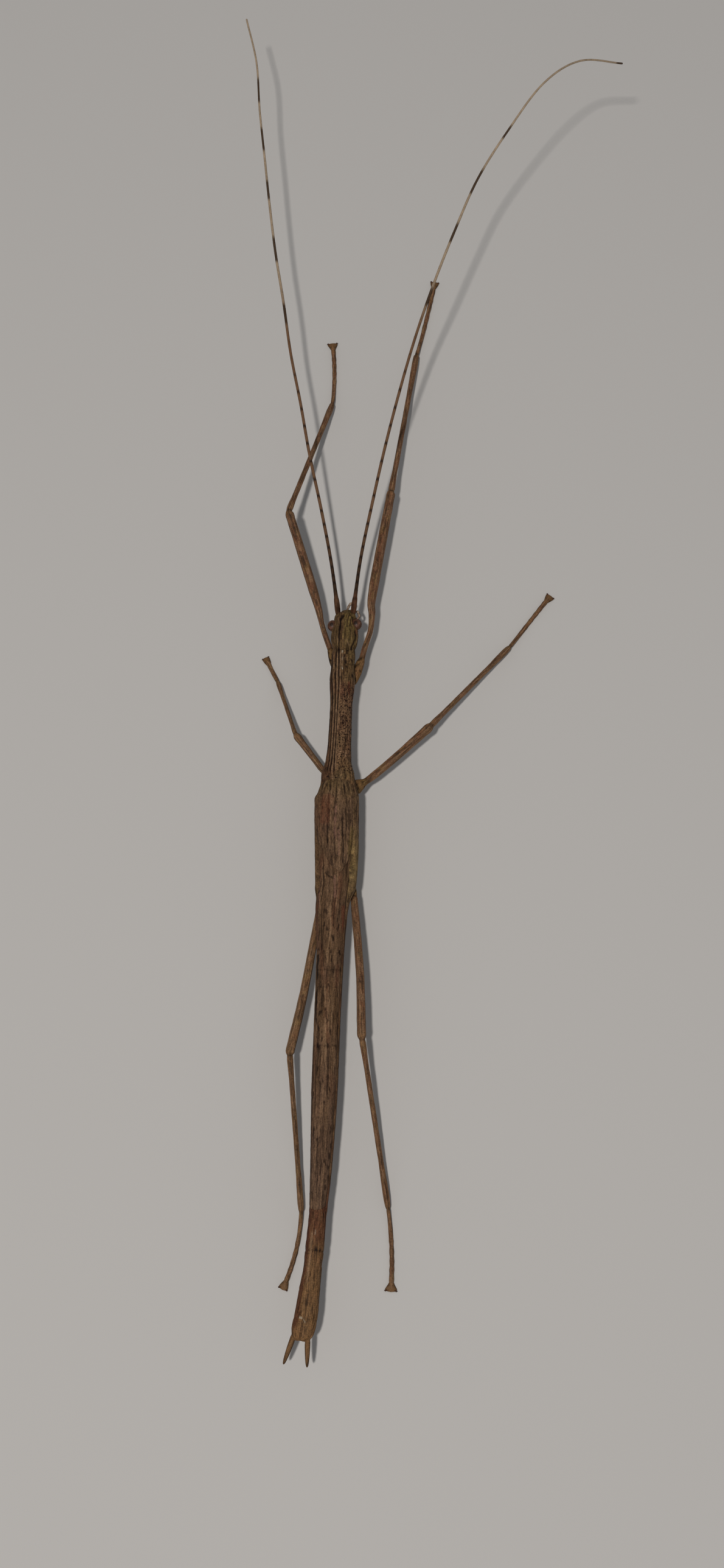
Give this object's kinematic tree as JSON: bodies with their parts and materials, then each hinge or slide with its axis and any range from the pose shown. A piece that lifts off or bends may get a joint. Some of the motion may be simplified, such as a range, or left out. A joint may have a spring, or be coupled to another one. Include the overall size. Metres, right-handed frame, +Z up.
{
  "type": "pink-winged stick insect",
  "caption": "Life-size still model of a pink-winged stick insect: long bark-brown body with folded wings, slender splayed legs and long banded feelers, standing on its feet.",
  "frame": {"origin": "on the floor, under the middle of the insect's box, feelers included", "axes": "+Y forward along the body to the feelers' tips, +X to the insect's right, +Z up from the floor that the feet stand on"},
  "size_m": [0.049, 0.1724, 0.0286],
  "materials": {
    "cuticle": "satin, bark-like, striate and finely granular",
    "wing": "matte, veined, with dark flecks",
    "antenna": "satin, banded dark brown and buff",
    "eye": "glossy red-brown with a dark spot",
    "claw": "satin dark brown"
  },
  "bodies": {
    "root": {"head": "cuticle", "palp_left": "cuticle", "palp_right": "cuticle", "prothorax": "cuticle", "mesothorax": "cuticle", "metathorax": "cuticle", "abdomen_2_3": "cuticle", "abdomen_4_5": "cuticle", "abdomen_6_7": "cuticle", "abdomen_8": "cuticle", "abdomen_9": "cuticle", "abdomen_10": "cuticle", "ovipositor_plate": "cuticle", "cercus_left": "cuticle", "cercus_right": "cuticle", "coxa_fore_left": "cuticle", "femur_fore_left": "cuticle", "tibia_fore_left": "cuticle", "tarsus_fore_left": "cuticle", "coxa_fore_right": "cuticle", "femur_fore_right": "cuticle", "tibia_fore_right": "cuticle", "tarsus_fore_right": "cuticle", "coxa_mid_left": "cuticle", "femur_mid_left": "cuticle", "tibia_mid_left": "cuticle", "tarsus_mid_left": "cuticle", "coxa_mid_right": "cuticle", "femur_mid_right": "cuticle", "tibia_mid_right": "cuticle", "tarsus_mid_right": "cuticle", "coxa_hind_left": "cuticle", "femur_hind_left": "cuticle", "tibia_hind_left": "cuticle", "tarsus_hind_left": "cuticle", "coxa_hind_right": "cuticle", "femur_hind_right": "cuticle", "tibia_hind_right": "cuticle", "tarsus_hind_right": "cuticle", "tegmen_left": "wing", "tegmen_right": "wing", "hindwing_left": "wing", "hindwing_right": "wing", "antenna_left_base": "antenna", "antenna_left_inner": "antenna", "antenna_left_middle": "antenna", "antenna_left_outer": "antenna", "antenna_right_base": "antenna", "antenna_right_inner": "antenna", "antenna_right_middle": "antenna", "antenna_right_outer": "antenna", "eye_left": "eye", "eye_right": "eye", "claws_fore_left": "claw", "claws_fore_right": "claw", "claws_mid_left": "claw", "claws_mid_right": "claw", "claws_hind_left": "claw", "claws_hind_right": "claw"}
  },
  "joints": []
}
